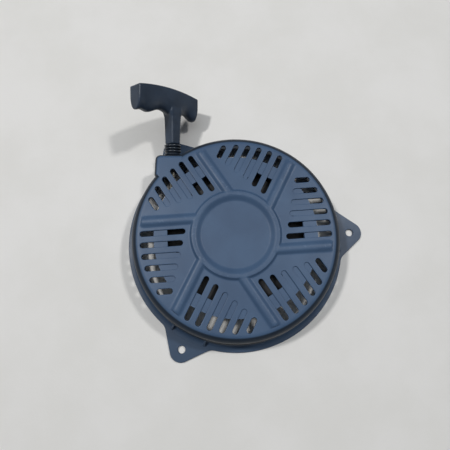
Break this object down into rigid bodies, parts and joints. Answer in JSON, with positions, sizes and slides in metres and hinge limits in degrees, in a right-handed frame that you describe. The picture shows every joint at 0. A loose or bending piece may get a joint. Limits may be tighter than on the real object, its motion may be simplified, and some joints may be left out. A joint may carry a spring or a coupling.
{
  "type": "recoil starter",
  "caption": "Pull-rope recoil starter: round vented cover with bolt ears, rope reel with pawls and spiral spring, and a T-grip on a rope that leaves through a side outlet.",
  "frame": {"origin": "centre of the round plate in the middle of the cover's top, on the crankshaft axis", "axes": "+Z along the crankshaft axis, away from the engine; +X through one of the three mounting ears; the rope outlet is on the +Y side"},
  "size_m": [0.2597, 0.2897, 0.0838],
  "materials": {
    "slate_plastic": "slate blue-grey moulded plastic, satin, fine grain",
    "grip_plastic": "dark navy moulded plastic, satin",
    "cap_plastic": "dark navy moulded plastic",
    "reel_plastic": "black nylon",
    "bumper_rubber": "dark glossy rubber",
    "braided_rope": "braided starter rope",
    "zinc_steel": "zinc-plated steel",
    "spring_steel": "blued spring steel, oiled",
    "phosphated_steel": "dark phosphated steel",
    "brass": "turned brass",
    "sintered_bronze": "sintered bronze"
  },
  "bodies": {
    "housing": {"cover_housing": "slate_plastic", "outlet_guide": "zinc_steel", "outlet_bumper": "bumper_rubber", "post_insert": "brass", "centre_screw": "zinc_steel", "screw_washer": "zinc_steel", "rope_run": "braided_rope"},
    "reel_body": {"reel": "reel_plastic", "reel_bushing": "sintered_bronze", "spring_case": "zinc_steel", "spring_cover": "zinc_steel", "recoil_spring": "spring_steel", "rope_coil": "braided_rope", "reel_knot": "braided_rope", "pawl_pin_a": "phosphated_steel", "pawl_pin_b": "phosphated_steel", "pawl_clip_a": "phosphated_steel", "pawl_clip_b": "phosphated_steel", "friction_spring": "phosphated_steel"},
    "cam": {"cam_plate": "phosphated_steel"},
    "pawl_a": {"pawl_a": "zinc_steel"},
    "pawl_b": {"pawl_b": "zinc_steel"},
    "rope": {"grip_rope": "braided_rope", "grip_washer": "zinc_steel", "grip_knot": "braided_rope"},
    "grip": {"grip": "grip_plastic", "grip_cap": "cap_plastic"}
  },
  "joints": [
    {"name": "reel_spin", "type": "hinge", "parent": "housing", "child": "reel_body", "pos_m": [0, 0, -0.0195], "axis": [0, 0, -1], "range_deg": [0, 1080], "stiffness_Nm_per_rad": 0.08, "springref_deg": -720.21, "deforming": ["recoil_spring", "rope_coil"]},
    {"name": "handle_pull", "type": "slide", "parent": "housing", "child": "rope", "axis": [0.0766, 0.9522, 0.2957], "range_m": [0, 1.166], "deforming": ["rope_run"]},
    {"name": "grip_twist", "type": "hinge", "parent": "rope", "child": "grip", "pos_m": [-0.06142, 0.10823, -0.01261], "axis": [0.0766, 0.9522, 0.2957], "range_deg": [-180, 180]},
    {"name": "cam_plate_turn", "type": "hinge", "parent": "reel_body", "child": "cam", "pos_m": [0, 0, -0.0334], "axis": [0, 0, 1], "range_deg": [0, 20], "stiffness_Nm_per_rad": 0.01, "springref_deg": -5.73},
    {"name": "pawl_a_swing", "type": "hinge", "parent": "reel_body", "child": "pawl_a", "pos_m": [0.027, 0, -0.0287], "axis": [0, 0, 1], "range_deg": [0, 25]},
    {"name": "pawl_b_swing", "type": "hinge", "parent": "reel_body", "child": "pawl_b", "pos_m": [-0.027, 0, -0.0287], "axis": [0, 0, 1], "range_deg": [0, 25]}
  ],
  "couplings": [
    {"joint": "handle_pull", "follows": "reel_spin", "m_per_rad": 0.0618},
    {"joint": "pawl_a_swing", "follows": "cam_plate_turn", "ratio": 1.25},
    {"joint": "pawl_b_swing", "follows": "cam_plate_turn", "ratio": 1.25}
  ]
}
